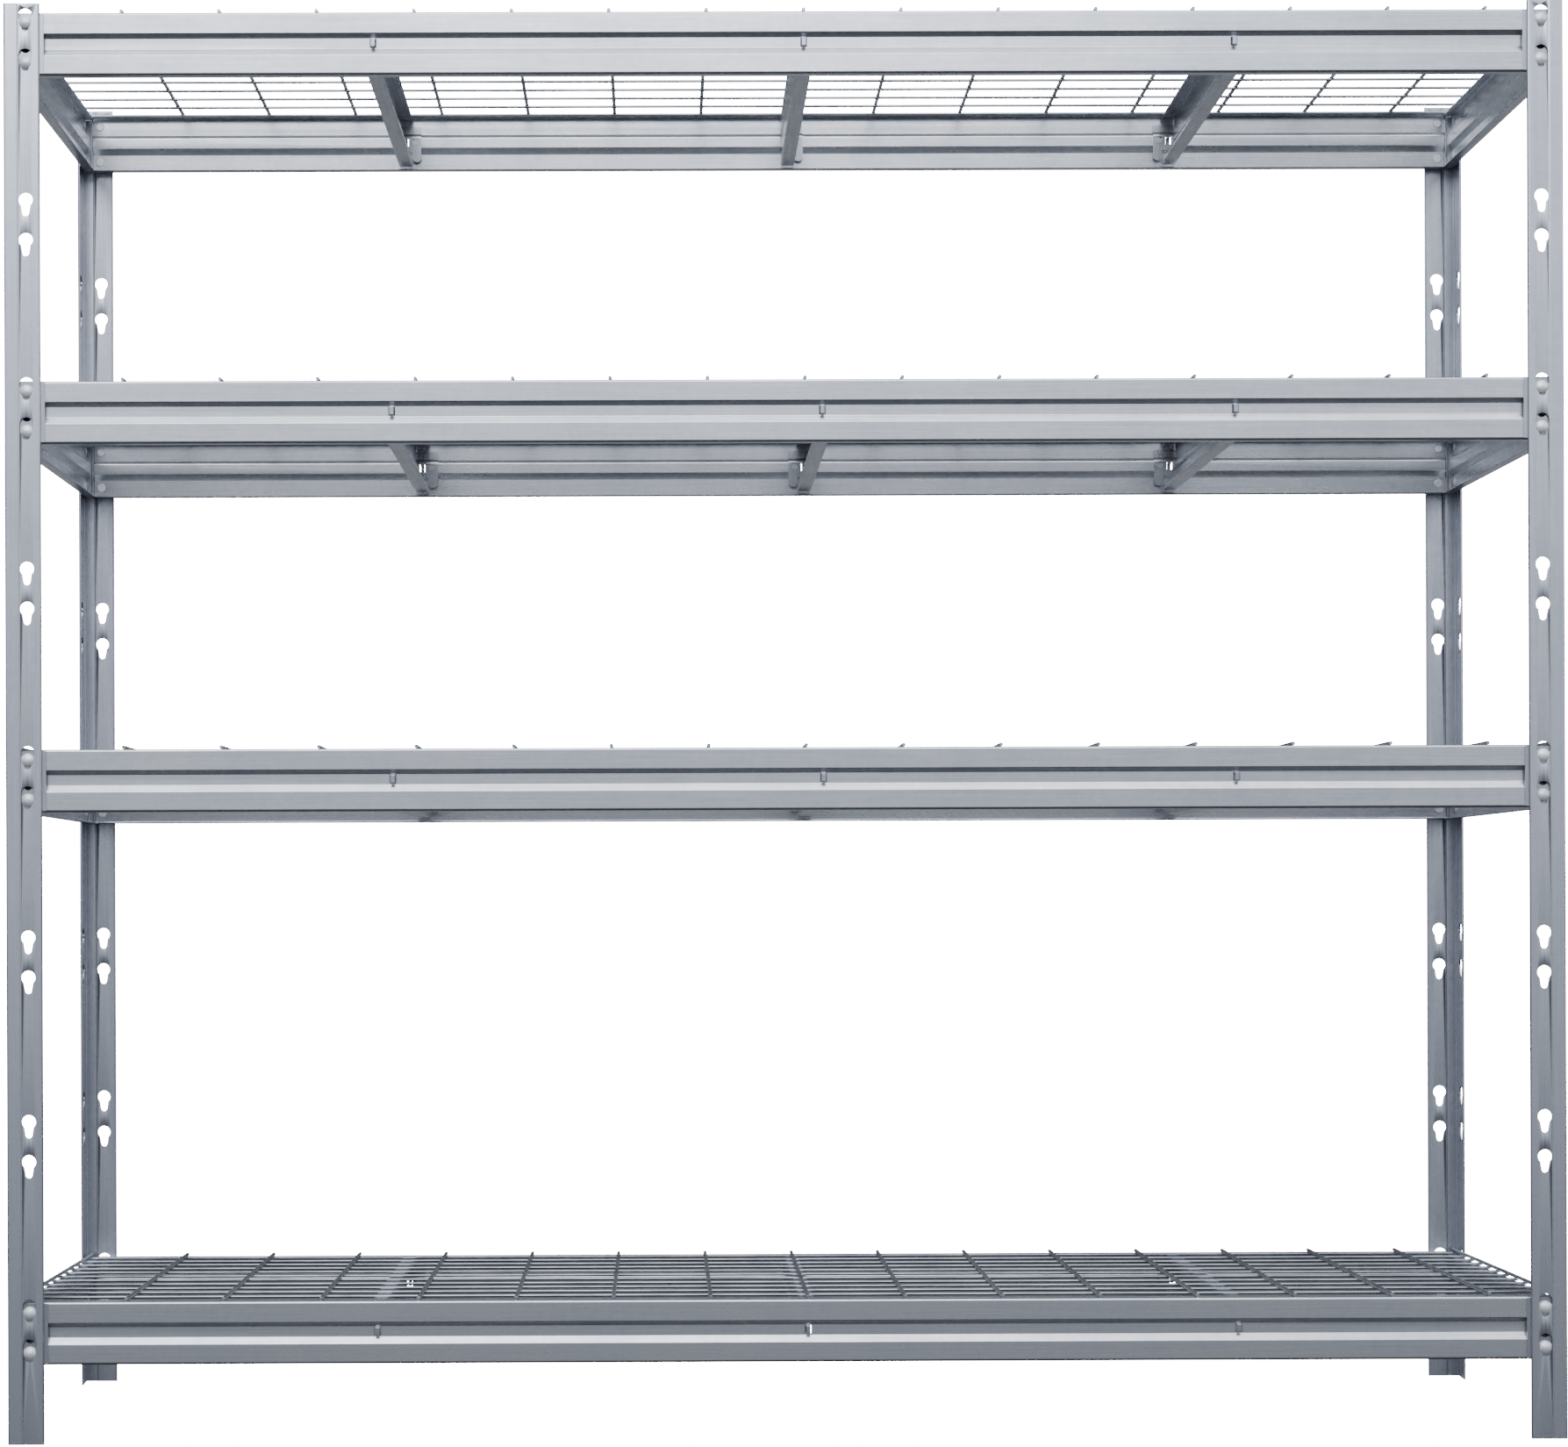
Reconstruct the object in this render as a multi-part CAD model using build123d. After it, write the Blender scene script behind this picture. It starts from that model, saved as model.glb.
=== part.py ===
from build123d import *

import os
from math import atan2, tan

# Boltless steel shelving: four keyhole posts, four levels of roll-formed beams, hooked cross bars and
# welded wire decks. Millimetres. +X runs along the long side, +Y from the front to the back, +Z up.
# The origin is on the floor, under the middle of the frame.

# ---- overall ----
LENGTH = 1981.0                 # outside of the posts, along X
DEPTH = 610.0                   # outside of the posts, along Y
HEIGHT = 1829.0                 # of the posts

# ---- posts ----
POST_FLANGE = 46.0
POST_SHEET = 2.0
POST_BEND = 3.0                 # outside radius of the corner bend
POST_RECESS = 1.0               # the keyhole strip is set in by this much
POST_STEP_FROM = 17.0           # where the strip is set in, from the corner
POST_STEP_RUN = 1.8             # length of the sloping step
POST_RETURN = 3.5               # depth of the rounded return on the free edge, from the strip's face
POST_RETURN_BEND = 3.3

# ---- rivets ----
RIVET_SHANK = 10.8
RIVET_HEAD = 15.5
RIVET_HEAD_RISE = 3.2
RIVET_COLLAR = RIVET_HEAD + 2.0 # shoulder between the end plate and the post
RIVET_TAIL_ROOM = 0.1           # between the tail and the start of the side beams' top bend
RIVET_TAIL_RISE = 1.6
RIVET_SEAT_DROP = 8.8           # seated rivet below the middle of the round part
RIVET_GRIP_PLAY = 0.2           # head and collar clear the post's sheet by this much
RIVET_BELOW_TOP = 13.8          # upper rivet below the beam's top

# ---- keyholes, fitted to the rivets ----
KEY_PITCH = 234.0               # between pairs
KEY_PAIR_GAP = 50.8             # within a pair
KEY_PAIRS = 8
KEY_TOP_MARGIN = 6.5            # post top to the top of the first hole
KEY_ROUND = RIVET_HEAD + 2.5    # round upper part
KEY_SLOT_WIDE = RIVET_SHANK + 0.8     # tapered slot, where it starts
KEY_SLOT_NARROW = RIVET_SHANK - 1.8   # and where it ends
KEY_SLOT_START = 7.0            # below the middle of the round part
KEY_SLOT_END = 16.0
KEY_EDGE = 18.0                 # centreline to the flange's free edge

# ---- levels: which keyhole pairs the shelves hang in, counted from the top ----
SHELF_PAIRS = (1, 3, 5, 8)

# ---- beams ----
BEAM_SHEET = 1.5
BEAM_HEIGHT = 80.0
BEAM_BEND = 3.2                 # outside radius of the top and bottom edges
BEAM_TOP_FLANGE = 14.0
BEAM_FOOT_FLANGE = 15.0
BEAM_GROOVE = 5.5               # depth of the recessed band
GROOVE_LINES = (27.0, 32.0, 46.0, 54.5)   # where the recessed band slopes in and out, below the top
SIDE_BEAM_DROP = 4.5            # tops of the side beams below those of the long beams
CORNER_GAP = 18.5               # beam ends to the outside of the crossing post flange
FLANGE_GAP = 0.5                # between pieces of one shelf that meet in a corner

# ---- end plates ----
PLATE_SHEET = 2.0
PLATE_POST_GAP = 0.3            # end plate to the post's return
PLATE_SHOW = 4.8                # how far the plate shows past the post's free edge
PLATE_MARGIN = 2.0              # plate edges inside the beam's top and bottom
PLATE_END_GAP = 0.5             # closing leg to the beam's end
PLATE_BEND = 2.4                # outside radius
WINDOW = 12.0                   # round window in the plate, over the lower rivet
WINDOW_RISE = 18.6              # its middle above the lower rivet

# ---- cross bars ----
BAR_COUNT = 3
BAR_PITCH = 548.0
BAR_SHIFT = 26.0                # the row of bars is off centre by this much
BAR_NUDGE = (0.0, 22.0, 22.0, 0.0)    # and all but the last bar by this much more, level by level
BAR_TURNED = ((3,), (2, 3), (2, 3), (3,))    # bars hung with their open side to -X, level by level
BAR_WIDTH = 20.0
BAR_SHEET = 1.5
BAR_BEND = 2.5
BAR_RIB = 2.2                   # height of the stiffening rib in the web
BAR_RIB_HALF = 5.0
BAR_LIP = 5.0                   # turned-in edges of the open side
BAR_RIB_BEND = 1.7
BAR_FOOT_GAP = 6.5              # bottom above the beam's bottom

# ---- bar clips ----
CLIP_REACH = 22.0               # past the bar's middle, on the bar's open side
CLIP_SHEET = 2.0
CLIP_GAP = 0.2                  # clip to the beam's sheet
CLIP_TOP = 15.0                 # clip's upper edge, below the beam's top
CLIP_FOOT = 53.0                # and its lower edge
CLIP_HOLE = 9.0
CLIP_HOLE_SIDE = 13.0           # hole to the bar's middle
CLIP_HOLE_DROP = 37.0           # and below the beam's top
CLIP_EAR = 13.0                 # width of the rounded ear below the plate
CLIP_EAR_DROP = 14.0
CLIP_WINDOW_IN = 0.5            # window behind the slot, smaller than it by this much on each side
CLIP_BEND = 2.5
TONGUE_WIDTH = 5.0
TONGUE_REACH = 5.2              # past the groove's outer face
SLOT_WIDTH = 9.0                # slot in the beam's groove for the tongue
SLOT_HEIGHT = 11.5

# ---- wire decks ----
CROSS_WIRE = 5.0                # diameter of the wires along Y
LONG_WIRE = 4.0                 # diameter of the wires along X
CROSS_PITCH = 124.0             # of the even row, centred on the bars
CROSS_ROOM = 60.0               # the row stops short of the edge wires by this much
LONG_PITCH = 51.0
LONG_PLAY = 1.0                 # outermost long wires to the beams' top flanges
EDGE_WIRE_IN = 11.5             # edge cross wires inside the frame's outside
CROSS_END_IN = 10.0             # cross wires end inside the frame's outside
LONG_END_IN = 8.0               # long wires end inside the frame's outside
WELD_SINK = 0.3                 # how far crossing wires melt into each other
DECK_REST_GAP = 0.1             # deck to the beams that it lies on
BAR_DECK_GAP = 0.2              # bars to the deck above them

# ---- worked out ----
STRIP_INNER = POST_RECESS + POST_SHEET
RETURN_END = POST_RECESS + POST_RETURN
PLATE_FACE = RETURN_END + PLATE_POST_GAP
BEAM_FACE = PLATE_FACE + PLATE_SHEET
KEY_LINE = POST_FLANGE - KEY_EDGE                 # from the corner
KEY_FIRST = HEIGHT - KEY_TOP_MARGIN - KEY_ROUND / 2
SEAT_CENTRE = KEY_FIRST - RIVET_SEAT_DROP
CLIP_FACE = BEAM_FACE + BEAM_GROOVE + BEAM_SHEET + CLIP_GAP
PLATE_LEG_END = CORNER_GAP - PLATE_END_GAP - PLATE_SHEET - FLANGE_GAP   # from the frame's outside
FOOT_CROP = BEAM_FACE + BEAM_FOOT_FLANGE + FLANGE_GAP - CORNER_GAP
RIVET_TAIL = 2 * (RIVET_BELOW_TOP - SIDE_BEAM_DROP - BEAM_BEND - RIVET_TAIL_ROOM)
THROUGH = 4 * CLIP_FACE         # cutter length that passes every sheet of one face
LONG_ROOM = DEPTH / 2 - BEAM_FACE - BEAM_TOP_FLANGE - LONG_WIRE / 2 - LONG_PLAY
LONG_COUNT = int(2 * LONG_ROOM // LONG_PITCH) + 1
EDGE_WIRE = LENGTH / 2 - EDGE_WIRE_IN
CROSS_EACH_SIDE = int((EDGE_WIRE - abs(BAR_SHIFT) - CROSS_ROOM) // CROSS_PITCH)
BAR_TOP = DECK_REST_GAP - LONG_WIRE + WELD_SINK - BAR_DECK_GAP          # from the long beams' top

ENDS = {"front": -1, "rear": 1}
SIDES = {"left": -1, "right": 1}


def level_top(pair):
    """Height of the long beams' top at a keyhole pair."""
    return SEAT_CENTRE - (pair - 1) * KEY_PITCH + RIVET_BELOW_TOP


def sheet(points, radii, thickness):
    """A bent sheet's section: an open line with a radius at each corner, thickened to its left."""
    line = FilletPolyline(*points, radius=radii)
    return make_face(offset(line, amount=thickness, side=Side.LEFT))


def keyhole():
    """Outline of one keyhole, its origin in the middle of the round part, long way along -Y."""
    round_part = Circle(KEY_ROUND / 2)
    start = Pos(0, -KEY_SLOT_START) * Circle(KEY_SLOT_WIDE / 2)
    end = Pos(0, -KEY_SLOT_END) * Circle(KEY_SLOT_NARROW / 2)
    slot = make_hull(start.edges() + end.edges())
    return round_part + slot


def post_flange_points():
    """Outer line of one flange in plan, from the corner: x along the flange, y into the post."""
    return [
        (POST_STEP_FROM, 0),
        (POST_STEP_FROM + POST_STEP_RUN, POST_RECESS),
        (POST_FLANGE, POST_RECESS),
        (POST_FLANGE, RETURN_END),
    ]


def post():
    """The front left post, its corner at the origin and its flanges along +X and +Y."""
    along_x = post_flange_points()
    along_y = [(y, x) for x, y in reversed(along_x)]
    points = along_y + [(0, 0)] + along_x
    step = POST_STEP_RUN / 2
    radii = [POST_RETURN_BEND, step, step, POST_BEND, step, step, POST_RETURN_BEND]
    body = extrude(sheet(points, radii, POST_SHEET), HEIGHT)
    hole = extrude(keyhole(), 2 * RETURN_END, both=True)
    cuts = []
    for pair in range(KEY_PAIRS):
        for drop in (0, KEY_PAIR_GAP):
            z = KEY_FIRST - pair * KEY_PITCH - drop
            cuts.append(Pos(KEY_LINE, 0, z) * Rot(90, 0, 0) * hole)
            cuts.append(Pos(0, KEY_LINE, z) * Rot(0, 0, 90) * Rot(90, 0, 0) * hole)
    return body - cuts


def to_corner(shape, side, end):
    """A front left piece moved to the corner named by its signs in X and Y."""
    shape = Pos(-LENGTH / 2, -DEPTH / 2, 0) * shape
    if side > 0:
        shape = mirror(shape, Plane.YZ)
    if end > 0:
        shape = mirror(shape, Plane.XZ)
    return shape


def beam(length, drop):
    """A roll-formed beam along +X from the origin, its outer face on y=0.

    Its top is lower than a long beam's by drop. z=0 is the long beams' top.
    """
    into, deep, out, flat = GROOVE_LINES
    points = [
        (BEAM_TOP_FLANGE, -drop),
        (0, -drop),
        (0, -into),
        (BEAM_GROOVE, -deep),
        (BEAM_GROOVE, -out),
        (0, -flat),
        (0, -BEAM_HEIGHT),
        (BEAM_FOOT_FLANGE, -BEAM_HEIGHT),
    ]
    small = BEAM_BEND / 2
    radii = [BEAM_BEND, small, small, small, small, BEAM_BEND]
    return extrude(Plane.YZ * sheet(points, radii, BEAM_SHEET), length)


def rivet_lines():
    """Heights of a beam's two rivets, below the long beams' top."""
    return (-RIVET_BELOW_TOP, -RIVET_BELOW_TOP - KEY_PAIR_GAP)


def rivet_holes(shape, x):
    """A beam or plate with the two rivet holes of one end."""
    bore = Rot(90, 0, 0) * Cylinder(RIVET_SHANK / 2, THROUGH)
    for z in rivet_lines():
        shape -= Pos(x, 0, z) * bore
    return shape


def bar_places(nudge):
    """X of each cross bar's middle on a level."""
    row = [BAR_SHIFT + (i - (BAR_COUNT - 1) / 2) * BAR_PITCH for i in range(BAR_COUNT)]
    return [x + nudge for x in row[:-1]] + row[-1:]


def slot_middle():
    """Height of the tongue slots' middle, below the long beams' top."""
    return -(GROOVE_LINES[1] + GROOVE_LINES[2]) / 2


def long_beam(nudge):
    """The front beam of a level, along X from the origin, its outer face on y=0."""
    length = LENGTH - 2 * CORNER_GAP
    inset = KEY_LINE - CORNER_GAP
    body = rivet_holes(rivet_holes(beam(length, 0), inset), length - inset)
    slot = Box(SLOT_WIDTH, THROUGH, SLOT_HEIGHT)
    for x in bar_places(nudge):
        body -= Pos(x + length / 2, 0, slot_middle()) * slot
    return body


def side_beam():
    """A side beam of a level, along X from the origin, its foot flange's inner corners cut away."""
    length = DEPTH - 2 * CORNER_GAP
    inset = KEY_LINE - CORNER_GAP
    body = rivet_holes(rivet_holes(beam(length, SIDE_BEAM_DROP), inset), length - inset)
    crop = Box(2 * FOOT_CROP, 2 * FOOT_CROP, 2 * BEAM_BEND)
    for x in (0, length):
        body -= Pos(x, BEAM_FOOT_FLANGE, -BEAM_HEIGHT) * crop
    return body


def end_plate(drop):
    """An angled end plate: one leg lies on the beam's face behind the post, the other closes the beam's end.

    The frame's outside is at y=0, the beam's end at x=0 and the long beams' top at z=0.
    """
    closing = -PLATE_END_GAP - PLATE_SHEET
    reach = POST_FLANGE + PLATE_SHOW - CORNER_GAP
    points = [(closing, PLATE_LEG_END), (closing, PLATE_FACE), (reach, PLATE_FACE)]
    section = sheet(points, [PLATE_BEND], PLATE_SHEET)
    tall = BEAM_HEIGHT - drop - 2 * PLATE_MARGIN
    plate = Pos(0, 0, -BEAM_HEIGHT + PLATE_MARGIN) * extrude(section, tall)
    rivet_x = KEY_LINE - CORNER_GAP
    window = Rot(90, 0, 0) * Cylinder(WINDOW / 2, THROUGH)
    plate -= Pos(rivet_x, 0, min(rivet_lines()) + WINDOW_RISE) * window
    return rivet_holes(plate, rivet_x)


def rivet():
    """A shouldered rivet along +Y: dome in front of the post's strip, collar behind it, tail inside the beam."""
    strip_front = POST_RECESS - RIVET_GRIP_PLAY
    collar_front = STRIP_INNER + RIVET_GRIP_PLAY
    tail_front = BEAM_FACE + BEAM_SHEET
    sphere_radius = (RIVET_HEAD**2 / 4 + RIVET_HEAD_RISE**2) / (2 * RIVET_HEAD_RISE)
    dome = Pos(0, 0, strip_front - RIVET_HEAD_RISE + sphere_radius) * Sphere(sphere_radius)
    dome &= Pos(0, 0, strip_front) * Cylinder(
        RIVET_HEAD, RIVET_HEAD_RISE, align=(Align.CENTER, Align.CENTER, Align.MAX)
    )
    upright = (Align.CENTER, Align.CENTER, Align.MIN)
    shank = Pos(0, 0, strip_front) * Cylinder(RIVET_SHANK / 2, tail_front - strip_front, align=upright)
    collar = Pos(0, 0, collar_front) * Cylinder(RIVET_COLLAR / 2, PLATE_FACE - collar_front, align=upright)
    tail = Pos(0, 0, tail_front) * Cylinder(RIVET_TAIL / 2, RIVET_TAIL_RISE, align=upright)
    tail = chamfer(tail.faces().sort_by(Axis.Z)[-1].edges(), RIVET_TAIL_RISE / 2)
    return Rot(-90, 0, 0) * (dome + shank + collar + tail)


def on_face(shape, face):
    """A piece built along X from the frame's front left corner, moved to the named face."""
    if face in ENDS:
        shape = Pos(-LENGTH / 2, -DEPTH / 2, 0) * shape
        return shape if ENDS[face] < 0 else mirror(shape, Plane.XZ)
    shape = Rot(0, 0, -90) * Pos(-DEPTH / 2, -LENGTH / 2, 0) * shape
    return shape if SIDES[face] < 0 else mirror(shape, Plane.YZ)


def both_ends(shape, face):
    """A piece at the left end of a face, and its mirror image at the right end."""
    length = LENGTH if face in ENDS else DEPTH
    return [on_face(shape, face), on_face(Pos(length, 0, 0) * mirror(shape, Plane.YZ), face)]


def level_beams(nudge):
    """The four beams of a level, by face."""
    start = Pos(CORNER_GAP, BEAM_FACE, 0)
    blanks = {face: long_beam(nudge) for face in ENDS} | {face: side_beam() for face in SIDES}
    return {face: on_face(start * blank, face) for face, blank in blanks.items()}


def level_plates():
    """The eight end plates of a level."""
    start = Pos(CORNER_GAP, 0, 0)
    pieces = []
    for faces, drop in ((ENDS, 0), (SIDES, SIDE_BEAM_DROP)):
        for face in faces:
            pieces += both_ends(start * end_plate(drop), face)
    return pieces


def level_rivets():
    """The sixteen rivets of a level."""
    pieces = []
    for face in (*ENDS, *SIDES):
        for z in rivet_lines():
            pieces += both_ends(Pos(KEY_LINE, 0, z) * rivet(), face)
    return pieces


def cross_bar():
    """A cross bar along Y at x=0: a C section open to +X, with a rib along its web."""
    tall = BEAM_HEIGHT - BAR_FOOT_GAP + BAR_TOP
    half = BAR_WIDTH / 2
    middle = -tall / 2
    rib_slope = BAR_RIB_HALF - BAR_RIB
    points = [
        (half, -BAR_LIP),
        (half, 0),
        (-half, 0),
        (-half, middle + BAR_RIB_HALF),
        (-half + BAR_RIB, middle + rib_slope),
        (-half + BAR_RIB, middle - rib_slope),
        (-half, middle - BAR_RIB_HALF),
        (-half, -tall),
        (half, -tall),
        (half, -tall + BAR_LIP),
    ]
    radii = [BAR_BEND, BAR_BEND, *[BAR_RIB_BEND] * 4, BAR_BEND, BAR_BEND]
    section = sheet(points, radii, BAR_SHEET)
    reach = DEPTH / 2 - CLIP_FACE - CLIP_SHEET
    return Pos(0, 0, BAR_TOP) * extrude(Plane.XZ * section, reach, both=True)


def clip():
    """The front clip of a cross bar, at x=0 and the frame's front face, z=0 at the long beams' top.

    A plate lies on the inside of the groove, steps up over it to the beam's upper band, and ends below in
    a rounded ear. A tongue goes out through the slot in the groove.
    """
    into, deep = GROOVE_LINES[:2]
    slope = atan2(BEAM_GROOVE, deep - into)
    lift = (BEAM_SHEET + CLIP_GAP) * tan(slope / 2)
    upper = CLIP_FACE - BEAM_GROOVE
    points = [(upper, -CLIP_TOP), (upper, lift - into), (CLIP_FACE, lift - deep), (CLIP_FACE, -CLIP_FOOT)]
    section = sheet(points, [CLIP_BEND, CLIP_BEND], CLIP_SHEET)
    plate = Pos(-BAR_WIDTH / 2, 0, 0) * extrude(Plane.YZ * section, BAR_WIDTH / 2 + CLIP_REACH)
    middle = CLIP_FACE + CLIP_SHEET / 2
    ear = Box(CLIP_EAR, CLIP_SHEET, CLIP_EAR_DROP, align=(Align.CENTER, Align.CENTER, Align.MAX))
    ear = fillet(ear.edges().filter_by(Axis.Y).group_by(Axis.Z)[0], CLIP_EAR / 2 - 0.1)
    bore = Rot(90, 0, 0) * Cylinder(CLIP_HOLE / 2, THROUGH)
    plate += Pos(CLIP_REACH - CLIP_EAR / 2, middle, -CLIP_FOOT) * ear
    plate -= Pos(CLIP_HOLE_SIDE, 0, -CLIP_HOLE_DROP) * bore
    wide, tall = SLOT_WIDTH - 2 * CLIP_WINDOW_IN, SLOT_HEIGHT - 2 * CLIP_WINDOW_IN
    plate -= Pos(0, 0, slot_middle()) * Box(wide, THROUGH, tall)
    reach = TONGUE_REACH + BEAM_SHEET + CLIP_GAP
    hung = (Align.CENTER, Align.MIN, Align.MAX)
    tongue = Pos(0, -reach, 0) * Box(TONGUE_WIDTH, reach + CLIP_SHEET, CLIP_SHEET, align=hung)
    tongue += Pos(0, -reach, 0) * Box(TONGUE_WIDTH, CLIP_SHEET, tall, align=hung)
    tongue = fillet(tongue.edges().filter_by(Axis.X).group_by(Axis.Y)[0], 0.8)
    return plate + Pos(0, CLIP_FACE, slot_middle() + tall / 2) * tongue


def hang(shape, place, nudge, turned):
    """A bar or clip made at x=0, hung at a bar's numbered place on a level."""
    if place in turned:
        shape = Rot(0, 0, 180) * shape
    return Pos(bar_places(nudge)[place - 1], 0, 0) * shape


def level_clips(nudge, turned):
    """Both clips of every bar of a level."""
    front = Pos(0, -DEPTH / 2, 0) * clip()
    pair = (front, mirror(front, Plane.XZ))
    return [hang(piece, i + 1, nudge, turned) for i in range(BAR_COUNT) for piece in pair]


def cross_places():
    """X of each cross wire: an even row centred on the bars, and one at each edge."""
    row = [BAR_SHIFT + i * CROSS_PITCH for i in range(-CROSS_EACH_SIDE, CROSS_EACH_SIDE + 1)]
    return [-EDGE_WIRE, *row, EDGE_WIRE]


def deck():
    """A welded wire deck: long wires hang just below the cross wires, whose ends lie on the long beams."""
    cross_z = DECK_REST_GAP + CROSS_WIRE / 2
    long_z = cross_z - CROSS_WIRE / 2 - LONG_WIRE / 2 + WELD_SINK
    cross = Rot(90, 0, 0) * Cylinder(CROSS_WIRE / 2, DEPTH - 2 * CROSS_END_IN)
    along = Rot(0, 90, 0) * Cylinder(LONG_WIRE / 2, LENGTH - 2 * LONG_END_IN)
    wires = [Pos(x, 0, cross_z) * cross for x in cross_places()]
    for i in range(LONG_COUNT):
        y = (i - (LONG_COUNT - 1) / 2) * LONG_PITCH
        wires.append(Pos(0, y, long_z) * along)
    return wires[0].fuse(*wires[1:])


def shelf(nudge, turned):
    """Every piece of one shelf by name, with z=0 at the long beams' top."""
    pieces = {f"{face}_beam": body for face, body in level_beams(nudge).items()}
    pieces["end_plates"] = Compound(level_plates())
    pieces["rivets"] = Compound(level_rivets())
    for place in range(1, BAR_COUNT + 1):
        pieces[f"cross_bar_{place}"] = hang(cross_bar(), place, nudge, turned)
    pieces["bar_clips"] = Compound(level_clips(nudge, turned))
    pieces["wire_deck"] = deck()
    return pieces


def write(shape, node):
    """Write one node's STEP file."""
    export_step(shape, f"parts/{node}.step")


os.makedirs("parts", exist_ok=True)

blank_post = post()
for face, end in ENDS.items():
    for side_name, side in SIDES.items():
        write(to_corner(blank_post, side, end), f"{face}_{side_name}_post")

shelves = {hanging: shelf(*hanging) for hanging in set(zip(BAR_NUDGE, BAR_TURNED))}
for number, (pair, *hanging) in enumerate(zip(SHELF_PAIRS, BAR_NUDGE, BAR_TURNED), start=1):
    for name, body in shelves[tuple(hanging)].items():
        write(Pos(0, 0, level_top(pair)) * body, f"shelf_{number}_{name}")
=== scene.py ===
"""Looks for boltless steel shelving: keyhole posts, roll-formed beams and welded wire decks."""

import logging
from collections.abc import Iterable, Sequence
from dataclasses import dataclass
from enum import Enum
from math import acos, asin, cos, degrees, pi, radians, sin, sqrt, tan

import bmesh
import bpy
from mathutils import Matrix, Vector


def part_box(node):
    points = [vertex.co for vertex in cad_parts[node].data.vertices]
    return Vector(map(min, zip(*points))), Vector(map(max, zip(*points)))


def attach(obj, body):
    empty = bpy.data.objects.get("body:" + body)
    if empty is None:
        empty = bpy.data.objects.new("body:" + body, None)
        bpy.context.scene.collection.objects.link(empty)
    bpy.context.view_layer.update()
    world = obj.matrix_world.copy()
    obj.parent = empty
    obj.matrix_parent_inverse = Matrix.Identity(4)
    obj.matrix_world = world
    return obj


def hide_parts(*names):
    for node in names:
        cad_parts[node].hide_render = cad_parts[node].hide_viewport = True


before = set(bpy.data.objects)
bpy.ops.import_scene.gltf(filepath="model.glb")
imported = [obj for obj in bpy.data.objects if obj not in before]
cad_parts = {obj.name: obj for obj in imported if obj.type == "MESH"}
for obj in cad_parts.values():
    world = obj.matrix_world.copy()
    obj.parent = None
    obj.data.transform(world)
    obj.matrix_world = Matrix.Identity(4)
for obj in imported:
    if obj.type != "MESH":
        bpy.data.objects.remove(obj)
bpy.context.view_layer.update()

MM = 0.001
LEVELS = (1, 2, 3, 4)
BARS = (1, 2, 3)
WHITE = (1, 1, 1, 1)

# tolerances in the pieces' own millimetres
SAME_SPOT = 1e-6
SAME_PLANE = 1e-4
CUT_SNAP = 1e-5
WELD = 1e-4
FACING = 0.999          # cosine above which a face looks along an axis
BEND_STEP = 15          # degrees that each facet of a bend turns

log = logging.getLogger("shelving")


class Face(Enum):
    """The four faces of the frame."""

    FRONT = "front"
    REAR = "rear"
    LEFT = "left"
    RIGHT = "right"

    @property
    def is_long(self) -> bool:
        """True for the faces that run along X."""
        return self in (Face.FRONT, Face.REAR)

    @property
    def is_mirrored(self) -> bool:
        """True for the faces that are made as the mirror image of the opposite one."""
        return self in (Face.REAR, Face.RIGHT)


class Run(Enum):
    """The way a sheet was rolled or a wire was drawn."""

    X = 0
    Y = 1
    Z = 2


def linear(hex_colour: str) -> tuple[float, float, float, float]:
    """Turn an sRGB hex colour into linear red, green, blue and alpha.

    Args:
        hex_colour: Six hex digits, with or without a leading #.

    Returns:
        The linear colour with alpha 1.
    """
    digits = hex_colour.lstrip("#")
    values = [int(digits[i : i + 2], 16) / 255 for i in (0, 2, 4)]
    low = [v / 12.92 for v in values]
    high = [((v + 0.055) / 1.055) ** 2.4 for v in values]
    red, green, blue = (a if v <= 0.04045 else b for v, a, b in zip(values, low, high))
    return red, green, blue, 1.0


def add_node(tree: bpy.types.NodeTree, kind: str, inputs: dict | None = None, **settings) -> bpy.types.Node:
    """Add a node with its settings, values and links.

    Args:
        tree: The node tree.
        kind: The node's type name without the ShaderNode prefix.
        inputs: Socket name or number to a value, or to an output socket that is linked in.
        **settings: Attributes of the node.

    Returns:
        The new node.
    """
    node = tree.nodes.new(f"ShaderNode{kind}")
    for name, value in settings.items():
        setattr(node, name, value)
    for name, value in (inputs or {}).items():
        if isinstance(value, bpy.types.NodeSocket):
            tree.links.new(value, node.inputs[name])
        else:
            node.inputs[name].default_value = value
    return node


def blank_material(name: str) -> tuple[bpy.types.Material, bpy.types.NodeTree]:
    """Make a material with an empty node tree, and return both."""
    material = bpy.data.materials.new(name)
    material.use_nodes = True
    material.node_tree.nodes.clear()
    return material, material.node_tree


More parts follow.
